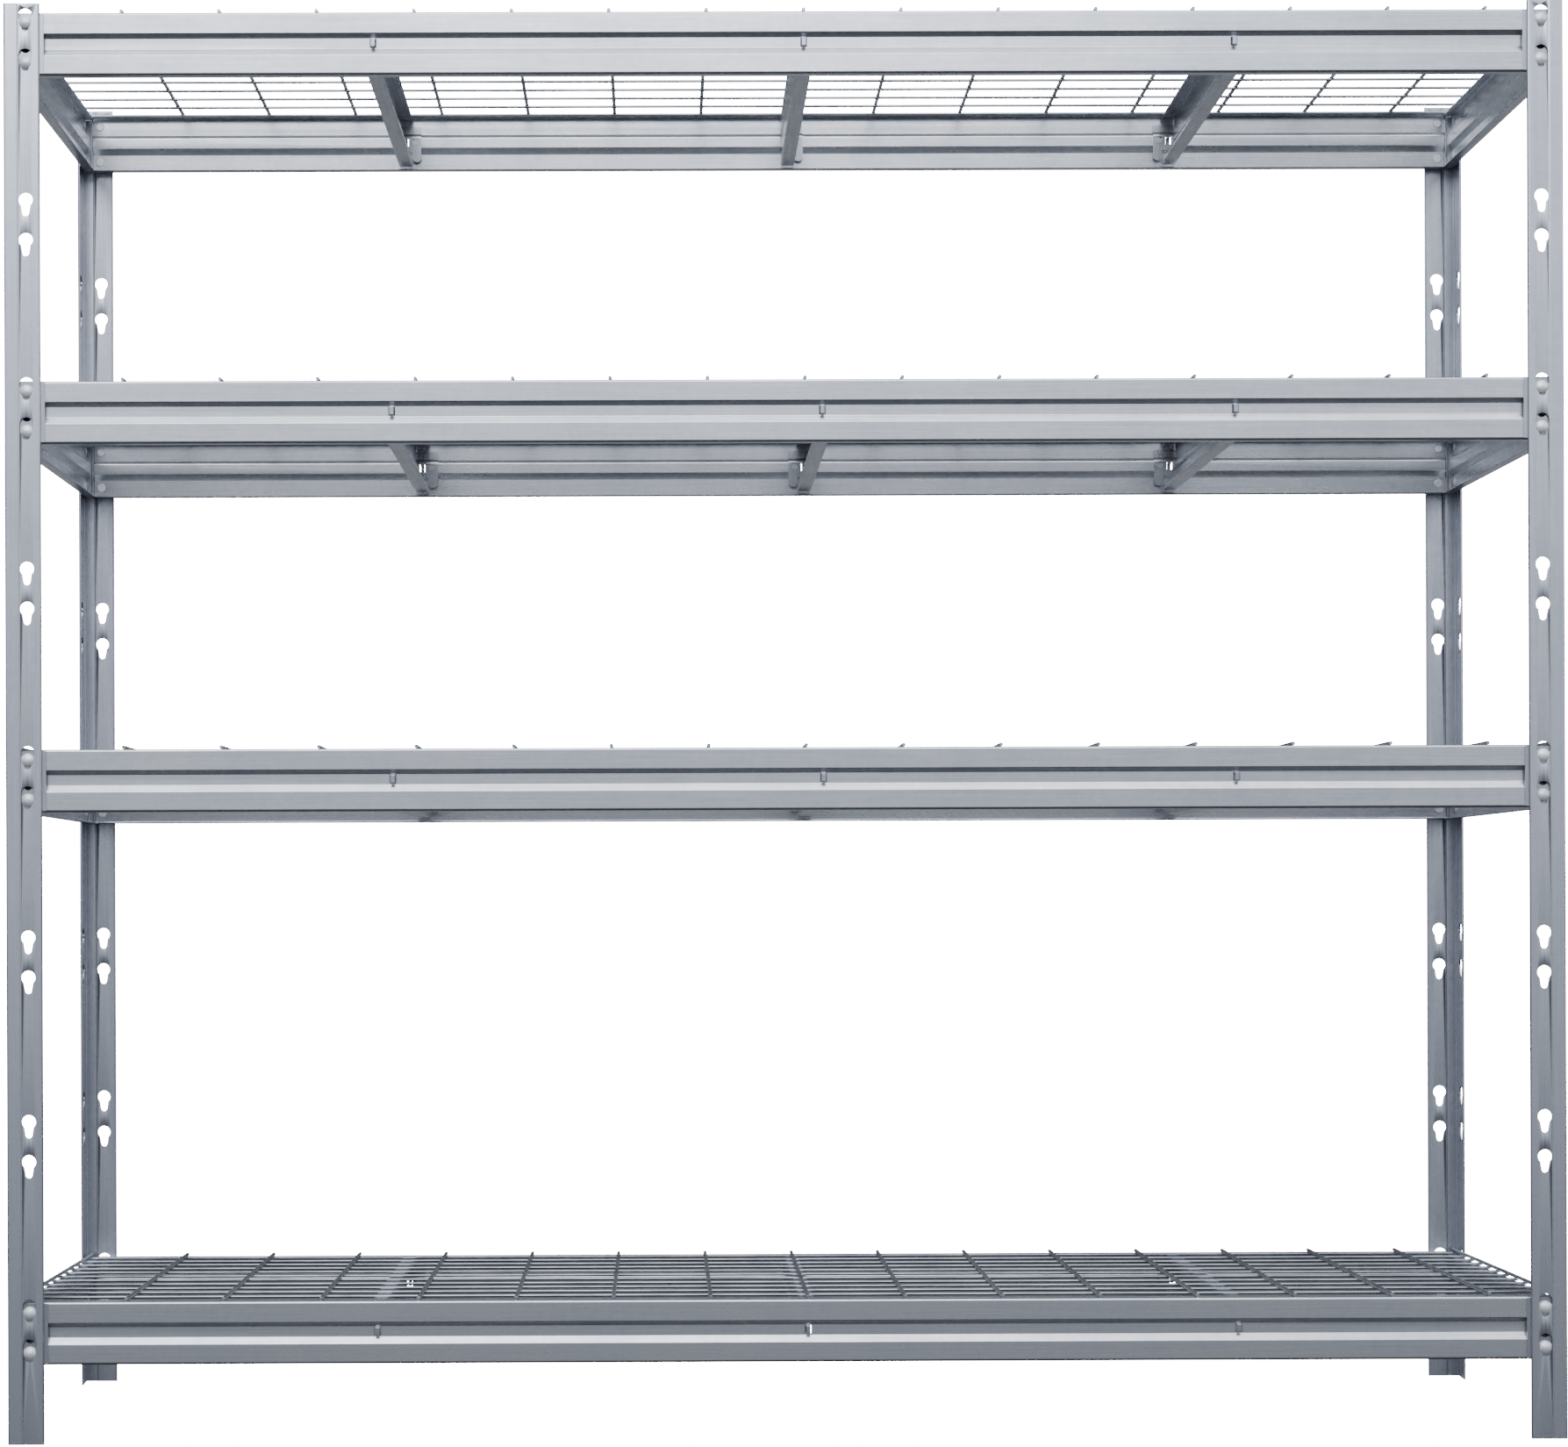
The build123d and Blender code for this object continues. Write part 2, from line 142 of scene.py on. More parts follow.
@dataclass(frozen=True)
class CoatedSheet:
    """Galvanised steel sheet, roll-formed: a soft grey metal with a faint spangle and rolling lines.

    The zinc's crystals change tone and gloss a little from one to the next. The rolls leave fine lines along
    the sheet, and handling leaves broad, faint, duller patches.
    """

    name: str
    light: str = "c8ccd5"
    dull: str = "a7acb8"
    metallic: float = 0.9
    roughness: float = 0.3
    run: Run = Run.Z
    spangle_mm: float = 9.0     # real crystals are 3 to 10 mm
    line_mm: float = 2.5        # real lines are about 0.5 mm: drawn coarser so that they show
    patch_mm: float = 160.0
    line_stretch: float = 0.02  # frequency of the lines along the sheet, as a share of that across it
    spangle_share: float = 0.10
    line_share: float = 0.50
    patch_share: float = 0.55

    def material(self) -> bpy.types.Material:
        """Return the finish as a material."""
        material, tree = blank_material(self.name)
        place = add_node(tree, "TexCoord").outputs["Object"]
        along = [1.0, 1.0, 1.0]
        along[self.run.value] = self.line_stretch
        stretch = add_node(tree, "Mapping", {"Vector": place, "Scale": along})
        spangle = add_node(tree, "TexVoronoi", {"Vector": place, "Scale": 1 / (self.spangle_mm * MM)})
        tone = add_node(tree, "SeparateColor", {"Color": spangle.outputs["Color"]})
        lines = add_node(
            tree, "TexNoise", {"Vector": stretch.outputs[0], "Scale": 1 / (self.line_mm * MM), "Detail": 2.0}
        )
        patches = add_node(
            tree,
            "TexNoise",
            {"Vector": place, "Scale": 1 / (self.patch_mm * MM), "Detail": 3.0, "Roughness": 0.6},
        )
        crystals = add_node(
            tree, "Math", {0: tone.outputs["Red"], 1: self.spangle_share}, operation="MULTIPLY"
        )
        streaks = add_node(
            tree,
            "Math",
            {0: lines.outputs["Fac"], 1: self.line_share, 2: crystals.outputs[0]},
            operation="MULTIPLY_ADD",
        )
        worn = add_node(
            tree,
            "Math",
            {0: patches.outputs["Fac"], 1: self.patch_share, 2: streaks.outputs[0]},
            operation="MULTIPLY_ADD",
        )
        share = add_node(tree, "MapRange", {"Value": worn.outputs[0], "From Min": 0.35, "From Max": 0.95})
        colour = add_node(
            tree,
            "Mix",
            {"Factor": share.outputs[0], 6: linear(self.light), 7: linear(self.dull)},
            data_type="RGBA",
        )
        gloss = add_node(
            tree,
            "MapRange",
            {
                "Value": worn.outputs[0],
                "From Min": 0.3,
                "From Max": 1.0,
                "To Min": self.roughness - 0.05,
                "To Max": self.roughness + 0.06,
            },
        )
        bump = add_node(
            tree, "Bump", {"Height": lines.outputs["Fac"], "Strength": 0.08, "Distance": 0.2 * MM}
        )
        shader = add_node(
            tree,
            "BsdfPrincipled",
            {
                "Base Color": colour.outputs[2],
                "Metallic": self.metallic,
                "Roughness": gloss.outputs[0],
                "Normal": bump.outputs[0],
            },
        )
        add_node(tree, "OutputMaterial", {"Surface": shader.outputs[0]})
        return material


@dataclass(frozen=True)
class ZincPlated:
    """Zinc plate on headed or drawn steel: smooth and pale, faintly clouded, with a fine grain."""

    name: str
    light: str = "c4c7cc"
    dull: str = "8f949c"
    metallic: float = 0.9
    roughness: float = 0.3
    grain_mm: float = 3.0
    cloud_mm: float = 60.0

    def material(self) -> bpy.types.Material:
        """Return the finish as a material."""
        material, tree = blank_material(self.name)
        place = add_node(tree, "TexCoord").outputs["Object"]
        cloud = add_node(
            tree, "TexNoise", {"Vector": place, "Scale": 1 / (self.cloud_mm * MM), "Detail": 3.0}
        )
        grain = add_node(
            tree, "TexNoise", {"Vector": place, "Scale": 1 / (self.grain_mm * MM), "Detail": 2.0}
        )
        share = add_node(
            tree, "MapRange", {"Value": cloud.outputs["Fac"], "From Min": 0.35, "From Max": 0.7}
        )
        colour = add_node(
            tree,
            "Mix",
            {"Factor": share.outputs[0], 6: linear(self.light), 7: linear(self.dull)},
            data_type="RGBA",
        )
        gloss = add_node(
            tree,
            "MapRange",
            {"Value": grain.outputs["Fac"], "To Min": self.roughness - 0.08, "To Max": self.roughness + 0.12},
        )
        bump = add_node(
            tree, "Bump", {"Height": grain.outputs["Fac"], "Strength": 0.1, "Distance": 0.1 * MM}
        )
        shader = add_node(
            tree,
            "BsdfPrincipled",
            {
                "Base Color": colour.outputs[2],
                "Metallic": self.metallic,
                "Roughness": gloss.outputs[0],
                "Normal": bump.outputs[0],
            },
        )
        add_node(tree, "OutputMaterial", {"Surface": shader.outputs[0]})
        return material


@dataclass(frozen=True)
class StudioPaper:
    """Matt white studio paper: no gloss, a barely visible tooth, and bright enough to look burnt out."""

    name: str = "studio_paper_matt"
    tooth_mm: float = 2.5
    glow: float = 20.0

    def material(self) -> bpy.types.Material:
        """Return the finish as a material."""
        material, tree = blank_material(self.name)
        place = add_node(tree, "TexCoord").outputs["Object"]
        tooth = add_node(
            tree, "TexNoise", {"Vector": place, "Scale": 1 / (self.tooth_mm * MM), "Detail": 2.0}
        )
        bump = add_node(
            tree, "Bump", {"Height": tooth.outputs["Fac"], "Strength": 0.02, "Distance": 0.2 * MM}
        )
        shader = add_node(
            tree,
            "BsdfPrincipled",
            {
                "Base Color": linear("f4f4f4"),
                "Roughness": 0.9,
                "Emission Color": WHITE,
                "Emission Strength": self.glow,
                "Normal": bump.outputs[0],
            },
        )
        add_node(tree, "OutputMaterial", {"Surface": shader.outputs[0]})
        return material


def finished_piece(
    name: str, mesh_maker: bmesh.types.BMesh, material: bpy.types.Material, smooth_below: float = 40.0
) -> bpy.types.Object:
    """Turn a bmesh into an object at the origin with smooth shading below an angle.

    Args:
        name: Name of the piece.
        mesh_maker: The bmesh, which is freed.
        material: Finish of the piece.
        smooth_below: Edges with a smaller angle in degrees are shaded smooth.

    Returns:
        The new object, linked into the scene.
    """
    for face in mesh_maker.faces:
        face.smooth = True
    for edge in mesh_maker.edges:
        edge.smooth = not edge.is_manifold or edge.calc_face_angle(0.0) < radians(smooth_below)
    mesh = bpy.data.meshes.new(name)
    mesh_maker.to_mesh(mesh)
    triangles = sum(len(face.verts) - 2 for face in mesh_maker.faces)
    mesh_maker.free()
    mesh.materials.append(material)
    piece = bpy.data.objects.new(name, mesh)
    bpy.context.collection.objects.link(piece)
    log.info("piece %s: %d triangles", name, triangles)
    return piece


def bent_sheet(
    points: Sequence[tuple[float, float]], radii: Sequence[float], length: float
) -> bmesh.types.BMesh:
    """Extrude an open section along +Z and round its bends. All sizes are in millimetres.

    Args:
        points: Corners of the section in X and Y.
        radii: Radius of each bend between the first and the last point.
        length: Length of the sheet.

    Returns:
        An open shell without thickness, in millimetres.
    """
    shell = bmesh.new()
    corners = [shell.verts.new((x, y, 0.0)) for x, y in points]
    edges = [shell.edges.new(pair) for pair in zip(corners, corners[1:])]
    grown = bmesh.ops.extrude_edge_only(shell, edges=edges)["geom"]
    top = [item for item in grown if isinstance(item, bmesh.types.BMVert)]
    bmesh.ops.translate(shell, verts=top, vec=(0, 0, length))
    spots = [Vector(point) for point in points]
    for last, corner, following, radius in zip(spots, spots[1:], spots[2:], radii):
        before = (corner - last).normalized()
        after = (following - corner).normalized()
        turn = acos(max(-1.0, min(1.0, before.dot(after))))
        bend = [
            edge
            for edge in shell.edges
            if all((Vector(v.co[:2]) - corner).length < SAME_SPOT for v in edge.verts)
        ]
        bmesh.ops.bevel(
            shell,
            geom=bend,
            offset=radius * tan(turn / 2),
            offset_type="OFFSET",
            affect="EDGES",
            segments=max(2, round(degrees(turn) / BEND_STEP)),
            profile=0.5,
            material=-1,
        )
    return shell


def face_out(shell: bmesh.types.BMesh, outward: Vector) -> None:
    """Make a shell's faces point outwards, judged by how they sum up along a direction."""
    bmesh.ops.recalc_face_normals(shell, faces=shell.faces)
    total = sum((face.normal * face.calc_area() for face in shell.faces), Vector())
    if total.dot(outward) < 0:
        bmesh.ops.reverse_faces(shell, faces=shell.faces)


def place_shell(shell: bmesh.types.BMesh, matrix: Matrix) -> None:
    """Move a shell by a matrix, and turn its faces back if the matrix mirrors them."""
    bmesh.ops.transform(shell, matrix=matrix, verts=shell.verts)
    if matrix.determinant() < 0:
        bmesh.ops.reverse_faces(shell, faces=shell.faces)


def give_wall(piece: bpy.types.Object, thickness: float) -> None:
    """Give a shell its sheet thickness in millimetres, on the side that its faces turn away from."""
    wall = piece.modifiers.new("sheet", "SOLIDIFY")
    wall.thickness = thickness * MM
    wall.offset = -1.0
    wall.use_even_offset = True
    wall.use_quality_normals = True
    flats = piece.modifiers.new("flats", "WEIGHTED_NORMAL")    # flat bands shade flat between their bends
    flats.mode = "FACE_AREA"
    flats.weight = 90
    flats.keep_sharp = True


def put_on(piece: bpy.types.Object, body: str, node: str) -> None:
    """Ride a piece on its body and let it stand for its CAD node."""
    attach(piece, body)
    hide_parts(node)


@dataclass
class Keyhole:
    """A keyhole: a round hole that runs down into a tapered slot. Millimetres."""

    round_radius: float = 9.0
    slot_radius: float = 5.8
    end_radius: float = 4.5
    slot_start: float = 7.0
    slot_end: float = 16.0
    round_steps: int = 12
    end_steps: int = 5

    def outline(self) -> list[tuple[float, float]]:
        """Return the outline's points around the middle of the round part, all the way round."""
        lean = asin((self.slot_radius - self.end_radius) / (self.slot_end - self.slot_start))
        join = (self.slot_radius**2 - self.round_radius**2 - self.slot_start**2) / (2 * self.slot_start)
        stop = asin(join / self.round_radius)
        half = []
        for i in range(self.round_steps + 1):
            angle = pi / 2 + (stop - pi / 2) * i / self.round_steps
            half.append((self.round_radius * cos(angle), self.round_radius * sin(angle)))
        half.append((self.slot_radius * cos(lean), -self.slot_start - self.slot_radius * sin(lean)))
        for i in range(self.end_steps + 1):
            angle = -lean - (pi / 2 - lean) * i / self.end_steps
            half.append((self.end_radius * cos(angle), -self.slot_end + self.end_radius * sin(angle)))
        return half + [(-x, y) for x, y in half[-2:0:-1]]


@dataclass
class KeyholePost:
    """An L post bent from one sheet, with a column of keyhole pairs in each flange. Millimetres."""

    face: Face
    side: Face
    flange: float = 46.0
    sheet: float = 2.0
    corner_bend: float = 3.0
    recess: float = 1.0
    step_from: float = 17.0
    step_run: float = 1.8
    lip: float = 3.5
    lip_bend: float = 3.3
    key_edge: float = 18.0      # keyholes' middle to the flange's free edge
    key_top: float = 15.5       # post's top to the first round middle
    key_pitch: float = 234.0
    key_gap: float = 50.8
    key_pairs: int = 8

    @property
    def name(self) -> str:
        """The post's node."""
        return f"{self.face.value}_{self.side.value}_post"

    def section(self) -> list[tuple[float, float]]:
        """Return the outer line of the post in plan, from the end of one flange to the other's."""
        along_x = [
            (self.step_from, 0.0),
            (self.step_from + self.step_run, self.recess),
            (self.flange, self.recess),
            (self.flange, self.recess + self.lip),
        ]
        return [(y, x) for x, y in reversed(along_x)] + [(0.0, 0.0)] + along_x

    def key_centres(self, height: float) -> list[float]:
        """Return the height of each keyhole's round middle."""
        first = height - self.key_top
        return [
            first - i * self.key_pitch - drop for i in range(self.key_pairs) for drop in (0.0, self.key_gap)
        ]

    def punch(self, shell: bmesh.types.BMesh, height: float, flat_axis: int) -> None:
        """Replace a flange's strip by one with keyholes.

        Args:
            shell: The post's shell.
            height: Height of the post.
            flat_axis: 1 for the flange along X, 0 for the flange along Y.
        """
        run_axis = 1 - flat_axis
        strips = [
            face
            for face in shell.faces
            if abs(face.calc_center_median()[flat_axis] - self.recess) < SAME_PLANE
            and abs(face.normal[flat_axis]) > FACING
        ]
        strip = max(strips, key=lambda face: face.calc_area())
        border = list(strip.edges)
        outward = strip.normal.copy()
        bmesh.ops.delete(shell, geom=[strip], context="FACES_ONLY")
        rims = []
        for middle in self.key_centres(height):
            ring = []
            for across, up in Keyhole().outline():
                spot = [0.0, 0.0, middle + up]
                spot[run_axis] = self.flange - self.key_edge + across
                spot[flat_axis] = self.recess
                ring.append(shell.verts.new(spot))
            rims += [shell.edges.new(pair) for pair in zip(ring, ring[1:] + ring[:1])]
        filled = bmesh.ops.triangle_fill(shell, edges=border + rims, use_beauty=True, normal=outward)
        faces = [item for item in filled["geom"] if isinstance(item, bmesh.types.BMFace)]
        wrong = [face for face in faces if face.normal.dot(outward) < 0]
        bmesh.ops.reverse_faces(shell, faces=wrong)

    def build(self, material: bpy.types.Material) -> bpy.types.Object:
        """Build the post and put it on the posts' body.

        Args:
            material: Finish of the sheet.

        Returns:
            The finished post.
        """
        low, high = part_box(self.name)
        height = (high[2] - low[2]) / MM
        step = self.step_run / 2
        radii = [self.lip_bend, step, step, self.corner_bend, step, step, self.lip_bend]
        shell = bent_sheet(self.section(), radii, height)
        face_out(shell, Vector((-1, -1, 0)))
        for flat_axis in (1, 0):
            self.punch(shell, height, flat_axis)
        mirror_x = -1 if self.side is Face.RIGHT else 1
        mirror_y = -1 if self.face is Face.REAR else 1
        corner = (high[0] if mirror_x < 0 else low[0], high[1] if mirror_y < 0 else low[1], low[2])
        scale = Matrix.Diagonal((mirror_x * MM, mirror_y * MM, MM, 1.0))
        place_shell(shell, Matrix.Translation(corner) @ scale)
        piece = finished_piece(f"{self.name}_punched", shell, material)
        give_wall(piece, self.sheet)
        put_on(piece, "posts", self.name)
        return piece


@dataclass
class GroovedBeam:
    """A roll-formed beam with a recessed band, and slots for the bars' tongues in a long one. Millimetres."""

    level: int
    face: Face
    sheet: float = 1.5
    height: float = 80.0
    bend: float = 3.2
    top_flange: float = 14.0
    foot_flange: float = 15.0
    groove: float = 5.5
    groove_lines: tuple[float, float, float, float] = (27.0, 32.0, 46.0, 54.5)
    slot_width: float = 9.0
    slot_height: float = 11.5

    @property
    def name(self) -> str:
        """The beam's node."""
        return f"shelf_{self.level}_{self.face.value}_beam"

    def section(self, drop: float) -> list[tuple[float, float]]:
        """Return the outer line of the section: x into the shelf, y up from the long beams' top."""
        into, deep, out, flat = self.groove_lines
        return [
            (self.top_flange, -drop),
            (0.0, -drop),
            (0.0, -into),
            (self.groove, -deep),
            (self.groove, -out),
            (0.0, -flat),
            (0.0, -self.height),
            (self.foot_flange, -self.height),
        ]

    def groove_floor(self, shell: bmesh.types.BMesh) -> list[bmesh.types.BMFace]:
        """Return the faces of the groove's floor."""
        return [f for f in shell.faces if abs(f.calc_center_median().x - self.groove) < SAME_PLANE]

    def punch_slot(self, shell: bmesh.types.BMesh, along: float) -> None:
        """Cut one tongue slot in the groove's floor.

        Args:
            shell: The beam's shell.
            along: Middle of the slot, along the beam.
        """
        _, deep, out, _ = self.groove_lines
        middle = -(deep + out) / 2
        half_wide, half_tall = self.slot_width / 2, self.slot_height / 2
        cuts = (
            (Run.Z, along - half_wide),
            (Run.Z, along + half_wide),
            (Run.Y, middle - half_tall),
            (Run.Y, middle + half_tall),
        )
        for axis, spot in cuts:
            point, normal = Vector(), Vector()
            point[axis.value], normal[axis.value] = spot, 1.0
            near = [
                f
                for f in self.groove_floor(shell)
                if axis is Run.Z or abs(f.calc_center_median().z - along) < self.slot_width
            ]
            geom = near + list({e for f in near for e in f.edges}) + list({v for f in near for v in f.verts})
            bmesh.ops.bisect_plane(shell, geom=geom, plane_co=point, plane_no=normal, dist=CUT_SNAP)
        hole = [
            f
            for f in self.groove_floor(shell)
            if abs(f.calc_center_median().z - along) < half_wide
            and abs(f.calc_center_median().y - middle) < half_tall
        ]
        bmesh.ops.delete(shell, geom=hole, context="FACES")

    def build(self, material: bpy.types.Material, bars: Iterable[float]) -> bpy.types.Object:
        """Build the beam and put it on its shelf.

        Args:
            material: Finish of the sheet.
            bars: X of each cross bar, in metres.

        Returns:
            The finished beam.
        """
        low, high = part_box(self.name)
        run = 0 if self.face.is_long else 1
        length = (high[run] - low[run]) / MM
        drop = self.height - (high[2] - low[2]) / MM
        small = self.bend / 2
        radii = [self.bend, small, small, small, small, self.bend]
        shell = bent_sheet(self.section(drop), radii, length)
        face_out(shell, Vector((-1, 0, 0)))
        if self.face.is_long:
            for x in bars:
                self.punch_slot(shell, (x - low[0]) / MM)
        across = 1 - run
        # the section's x goes into the shelf, its y up, and its z along the beam
        axes = Matrix.Diagonal((0.0, 0.0, 0.0, 1.0))
        axes[across][0] = -MM if self.face.is_mirrored else MM
        axes[2][1] = MM
        axes[run][2] = MM
        corner = [0.0, 0.0, low[2] + self.height * MM]
        corner[across] = high[across] if self.face.is_mirrored else low[across]
        corner[run] = low[run]
        place_shell(shell, Matrix.Translation(corner) @ axes)
        piece = finished_piece(f"{self.name}_rolled", shell, material)
        give_wall(piece, self.sheet)
        put_on(piece, f"shelf_{self.level}", self.name)
        return piece


@dataclass
class RivetRow:
    """Shouldered rivets of a level: dome before the post, shoulder behind, tail in the beam. Millimetres."""

    level: int
    key_line: float = 28.0
    below_top: float = 13.8
    pair_gap: float = 50.8
    head_radius: float = 7.75
    head_rise: float = 3.2
    shank_radius: float = 5.4
    collar_radius: float = 8.75
    tail_radius: float = 6.0
    strip_front: float = 0.8    # underside of the head, behind the frame's outside
    collar_front: float = 3.2   # and the shoulder's front
    plate_face: float = 4.8     # and the end plate's face
    tail_front: float = 8.3     # and the beam's inside
    tail_rise: float = 1.6
    steps: int = 20
    dome_steps: int = 5

    @property
    def name(self) -> str:
        """The rivets' node."""
        return f"shelf_{self.level}_rivets"

    def one(self) -> bmesh.types.BMesh:
        """Spin one rivet about Y, its face side towards -Y, with the frame's outside at y=0."""
        rise, radius = self.head_rise, self.head_radius
        ball = (radius**2 + rise**2) / (2 * rise)
        profile = []
        for i in range(self.dome_steps + 1):
            r = radius * sin(pi / 2 * i / self.dome_steps)
            profile.append((r, self.strip_front - rise + ball - sqrt(ball**2 - r**2)))
        profile += [
            (self.shank_radius, self.strip_front),
            (self.shank_radius, self.collar_front),
            (self.collar_radius, self.collar_front),
            (self.collar_radius, self.plate_face),
            (self.shank_radius, self.plate_face),
            (self.shank_radius, self.tail_front),
            (self.tail_radius, self.tail_front),
            (self.tail_radius, self.tail_front + self.tail_rise / 2),
            (self.tail_radius - self.tail_rise / 2, self.tail_front + self.tail_rise),
            (0.0, self.tail_front + self.tail_rise),
        ]
        rivet = bmesh.new()
        spots = [rivet.verts.new((r, y, 0.0)) for r, y in profile]
        edges = [rivet.edges.new(pair) for pair in zip(spots, spots[1:])]
        bmesh.ops.spin(
            rivet,
            geom=spots + edges,
            axis=(0, 1, 0),
            cent=(0, 0, 0),
            angle=2 * pi,
            steps=self.steps,
            use_merge=True,
        )
        bmesh.ops.remove_doubles(rivet, verts=rivet.verts, dist=WELD)
        bmesh.ops.recalc_face_normals(rivet, faces=rivet.faces)
        return rivet

    def places(self) -> list[Matrix]:
        """Return the place of every rivet as a matrix from its own millimetres to the frame."""
        low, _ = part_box("front_left_post")
        half_x, half_y = abs(low[0]), abs(low[1])
        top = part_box(f"shelf_{self.level}_front_beam")[1][2]
        places = []
        for z in (top - self.below_top * MM, top - (self.below_top + self.pair_gap) * MM):
            for sign in (-1, 1):
                for end in (-1, 1):
                    along = end * (half_x - self.key_line * MM)
                    turn = Matrix.Identity(4) if sign < 0 else Matrix.Rotation(pi, 4, "Z")
                    places.append(Matrix.Translation((along, sign * half_y, z)) @ turn)
                    along = end * (half_y - self.key_line * MM)
                    turn = Matrix.Rotation(-pi / 2 if sign < 0 else pi / 2, 4, "Z")
                    places.append(Matrix.Translation((sign * half_x, along, z)) @ turn)
        return [place @ Matrix.Scale(MM, 4) for place in places]

    def build(self, material: bpy.types.Material) -> bpy.types.Object:
        """Build the level's rivets and put them on its shelf."""
        row = bmesh.new()
        single = bpy.data.meshes.new("rivet_blank")
        rivet = self.one()
        rivet.to_mesh(single)
        rivet.free()
        for place in self.places():
            start = len(row.verts)
            row.from_mesh(single)
            row.verts.ensure_lookup_table()
            bmesh.ops.transform(row, matrix=place, verts=row.verts[start:])
        bpy.data.meshes.remove(single)
        piece = finished_piece(f"{self.name}_domed", row, material)
        put_on(piece, f"shelf_{self.level}", self.name)
        return piece


@dataclass
class WireDeck:
    """A welded deck: long wires under cross wires, whose ends lie on the long beams. Millimetres."""

    level: int
    cross_wire: float = 5.0
    long_wire: float = 4.0
    cross_pitch: float = 124.0
    cross_shift: float = 26.0
    cross_each_side: int = 7
    edge_in: float = 3.5        # edge wires inside the long wires' ends
    long_count: int = 12
    long_pitch: float = 51.0
    sides: int = 12
    end_bevel: float = 0.15     # of the wire's radius

    @property
    def name(self) -> str:
        """The deck's node."""
        return f"shelf_{self.level}_wire_deck"

    def add_wire(
        self, deck: bmesh.types.BMesh, middle: Vector, length: float, diameter: float, run: Run
    ) -> None:
        """Add one straight wire with softened ends.

        Args:
            deck: The deck's mesh.
            middle: Middle of the wire, in metres.
            length: Length in metres.
            diameter: Diameter in millimetres.
            run: Axis that the wire lies along.
        """
        turn = Matrix.Rotation(pi / 2, 4, "Y") if run is Run.X else Matrix.Rotation(pi / 2, 4, "X")
        radius = diameter / 2 * MM
        made = bmesh.ops.create_cone(
            deck,
            cap_ends=True,
            cap_tris=False,
            segments=self.sides,
            radius1=radius,
            radius2=radius,
            depth=length,
            matrix=Matrix.Translation(middle) @ turn,
        )
        rims = {edge for vert in made["verts"] for edge in vert.link_edges if edge.calc_length() < 2 * radius}
        bmesh.ops.bevel(
            deck,
            geom=list(rims),
            offset=self.end_bevel * radius,
            affect="EDGES",
            segments=1,
            profile=0.5,
            material=-1,
        )

    def build(self, material: bpy.types.Material) -> bpy.types.Object:
        """Build the deck and put it on its own body."""
        low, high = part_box(self.name)
        deck = bmesh.new()
        middle_y = (low[1] + high[1]) / 2
        cross_z = high[2] - self.cross_wire / 2 * MM
        long_z = low[2] + self.long_wire / 2 * MM
        steps = range(-self.cross_each_side, self.cross_each_side + 1)
        row = [(self.cross_shift + i * self.cross_pitch) * MM for i in steps]
        edge = high[0] - self.edge_in * MM
        for x in (-edge, *row, edge):
            self.add_wire(deck, Vector((x, middle_y, cross_z)), high[1] - low[1], self.cross_wire, Run.Y)
        for i in range(self.long_count):
            y = middle_y + (i - (self.long_count - 1) / 2) * self.long_pitch * MM
            self.add_wire(deck, Vector((0.0, y, long_z)), high[0] - low[0], self.long_wire, Run.X)
        piece = finished_piece(f"{self.name}_welded", deck, material)
        put_on(piece, f"deck_{self.level}", self.name)
        return piece


@dataclass
class Shelving:
    """The whole unit: posts, and per level its beams, rivets, deck, end plates, bars and clips."""

    def bar_places(self, level: int) -> list[float]:
        """Return X of each cross bar's middle on a level, in metres."""
        boxes = [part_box(f"shelf_{level}_cross_bar_{number}") for number in BARS]
        return [(low[0] + high[0]) / 2 for low, high in boxes]

    def dress(self, node: str, material: bpy.types.Material) -> None:
        """Give a CAD node its finish."""
        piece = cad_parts[node]
        piece.data.materials.clear()
        piece.data.materials.append(material)
        log.info("node %s: %s", node, material.name)

    def build(self) -> None:
        """Build and dress every piece."""
        post_finish = CoatedSheet("galvanised_sheet_rolled_upright", run=Run.Z).material()
        beam_finish = {
            True: CoatedSheet("galvanised_sheet_rolled_lengthways", light="d2d5da", run=Run.X).material(),
            False: CoatedSheet("galvanised_sheet_rolled_crossways", light="d2d5da", run=Run.Y).material(),
        }
        plate_finish = CoatedSheet("galvanised_sheet_pressed", light="b9bdc4", dull="9498a1").material()
        bar_finish = CoatedSheet(
            "galvanised_strip_rolled", light="c3c6cc", dull="9a9ea6", run=Run.Y
        ).material()
        rivet_finish = ZincPlated(
            "zinc_plated_steel_headed", light="eef0f4", dull="c9cdd4", metallic=0.4, roughness=0.38
        ).material()
        wire_finish = ZincPlated("zinc_plated_steel_drawn", light="b4b8be", dull="8d929a").material()
        for face in (Face.FRONT, Face.REAR):
            for side in (Face.LEFT, Face.RIGHT):
                KeyholePost(face, side).build(post_finish)
        for level in LEVELS:
            bars = self.bar_places(level)
            for face in Face:
                GroovedBeam(level, face).build(beam_finish[face.is_long], bars)
            RivetRow(level).build(rivet_finish)
            WireDeck(level).build(wire_finish)
            self.dress(f"shelf_{level}_end_plates", plate_finish)
            self.dress(f"shelf_{level}_bar_clips", plate_finish)
            for number in BARS:
                self.dress(f"shelf_{level}_cross_bar_{number}", bar_finish)


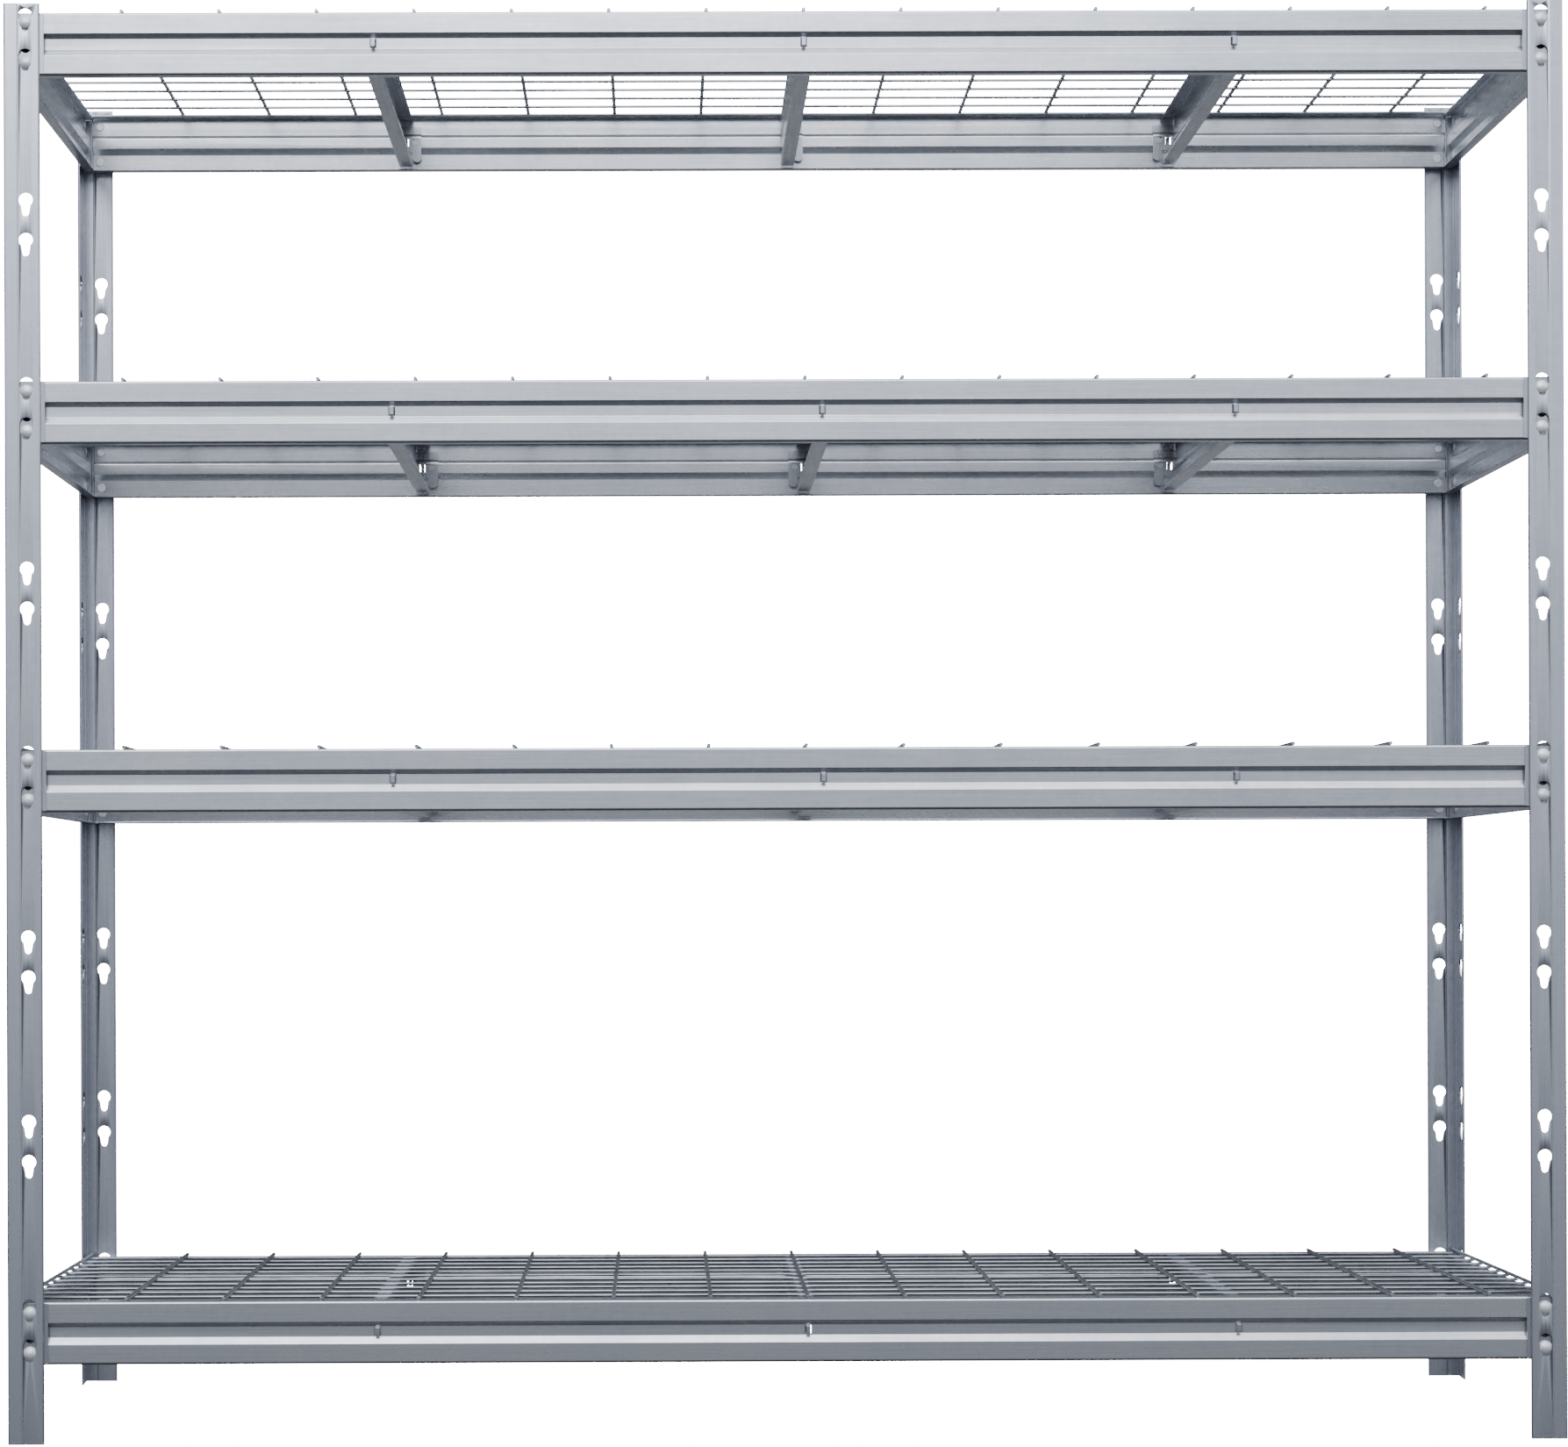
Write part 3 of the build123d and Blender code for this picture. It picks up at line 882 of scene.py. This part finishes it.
@dataclass
class Studio:
    """Floor, lights and camera."""

    location: tuple[float, float, float] = (-0.1605, -4.7834, 0.6764)
    tilt: tuple[float, float, float] = (pi / 2, 0.0036, -0.0036)
    lens_mm: float = 81.02
    shift: tuple[float, float] = (0.0708, 0.1186)
    far_clip: float = 100.0
    paper_half: float = 40.0
    paper_drop: float = 0.0005
    seen_white: float = 25.0
    light_tint: tuple[float, float, float, float] = (0.87, 0.92, 1, 1)

    def floor(self) -> None:
        """Lay the pale floor."""
        paper = bmesh.new()
        bmesh.ops.create_grid(paper, x_segments=1, y_segments=1, size=self.paper_half)
        bmesh.ops.translate(paper, verts=paper.verts, vec=(0, 0, -self.paper_drop))
        piece = finished_piece("floor_paper", paper, StudioPaper().material())
        piece.visible_glossy = False    # the paper would light the undersides, which are dark on the real one
        piece.visible_diffuse = False

    def soft_box(
        self, name: str, place: Sequence[float], aim: Sequence[float], size: tuple[float, float], power: float
    ) -> None:
        """Hang one soft area light.

        Args:
            name: Name of the light.
            place: Where it hangs, in metres.
            aim: The point that it faces.
            size: Width and height in metres.
            power: Power in watts.
        """
        lamp = bpy.data.lights.new(name, "AREA")
        lamp.shape = "RECTANGLE"
        lamp.size, lamp.size_y = size
        lamp.energy = power
        holder = bpy.data.objects.new(name, lamp)
        holder.location = place
        holder.rotation_euler = (Vector(aim) - Vector(place)).to_track_quat("-Z", "Y").to_euler()
        bpy.context.collection.objects.link(holder)

    def sky(self) -> None:
        """Surround the set with soft light: white to look at, and as a light bright above and in front.

        A weak patch behind and below lights the undersides of the bars.
        """
        world = bpy.data.worlds.new("soft_studio")
        world.use_nodes = True
        tree = world.node_tree
        tree.nodes.clear()
        way = add_node(tree, "TexCoord").outputs["Generated"]
        parts = add_node(tree, "SeparateXYZ", {"Vector": way}).outputs
        rise = add_node(
            tree,
            "MapRange",
            {"Value": parts["Z"], "From Min": -0.13, "From Max": 0.36, "To Min": 0.04, "To Max": 2.3},
        )
        front = add_node(
            tree,
            "MapRange",
            {"Value": parts["Y"], "From Min": 0.0, "From Max": -0.9, "To Min": 0.1, "To Max": 1.0},
        )
        above = add_node(tree, "Math", {0: rise.outputs[0], 1: front.outputs[0]}, operation="MULTIPLY")
        behind = add_node(
            tree,
            "MapRange",
            {"Value": parts["Y"], "From Min": 0.6, "From Max": 0.95, "To Min": 0.0, "To Max": 0.4},
        )
        below = add_node(
            tree,
            "MapRange",
            {"Value": parts["Z"], "From Min": 0.02, "From Max": -0.12, "To Min": 0.0, "To Max": 1.0},
        )
        share = add_node(
            tree,
            "Math",
            {0: behind.outputs[0], 1: below.outputs[0], 2: above.outputs[0]},
            operation="MULTIPLY_ADD",
        )
        seen = add_node(tree, "Background", {"Color": WHITE, "Strength": self.seen_white})
        lit = add_node(tree, "Background", {"Color": self.light_tint, "Strength": share.outputs[0]})
        ray = add_node(tree, "LightPath").outputs["Is Camera Ray"]
        both = add_node(tree, "MixShader", {0: ray, 1: lit.outputs[0], 2: seen.outputs[0]})
        add_node(tree, "OutputWorld", {"Surface": both.outputs[0]})
        bpy.context.scene.world = world

    def camera(self) -> None:
        """Set up the camera."""
        lens = bpy.data.cameras.new("camera")
        lens.sensor_width = 36.0
        lens.sensor_fit = "HORIZONTAL"
        lens.lens = self.lens_mm
        lens.shift_x, lens.shift_y = self.shift
        lens.clip_end = self.far_clip
        holder = bpy.data.objects.new("camera", lens)
        holder.location = self.location
        holder.rotation_euler = self.tilt
        bpy.context.collection.objects.link(holder)
        bpy.context.scene.camera = holder

    def build(self) -> None:
        """Set up floor, lights and camera."""
        self.floor()
        self.sky()
        self.soft_box("key_soft_box", place=(-0.6, -3.4, 3.6), aim=(0, 0, 1.1), size=(3.2, 2.0), power=85.0)
        self.soft_box("top_soft_box", place=(0.0, -1.6, 4.4), aim=(0, 0, 1.0), size=(5.0, 2.0), power=70.0)
        self.soft_box("right_soft_box", place=(3.6, -2.0, 2.2), aim=(0, 0, 1.0), size=(1.6, 2.4), power=16.0)
        self.camera()


def main() -> None:
    """Build the unit and its studio."""
    logging.basicConfig(level=logging.INFO, format="%(name)s %(message)s")
    Shelving().build()
    Studio().build()


if __name__ == "__main__":
    main()
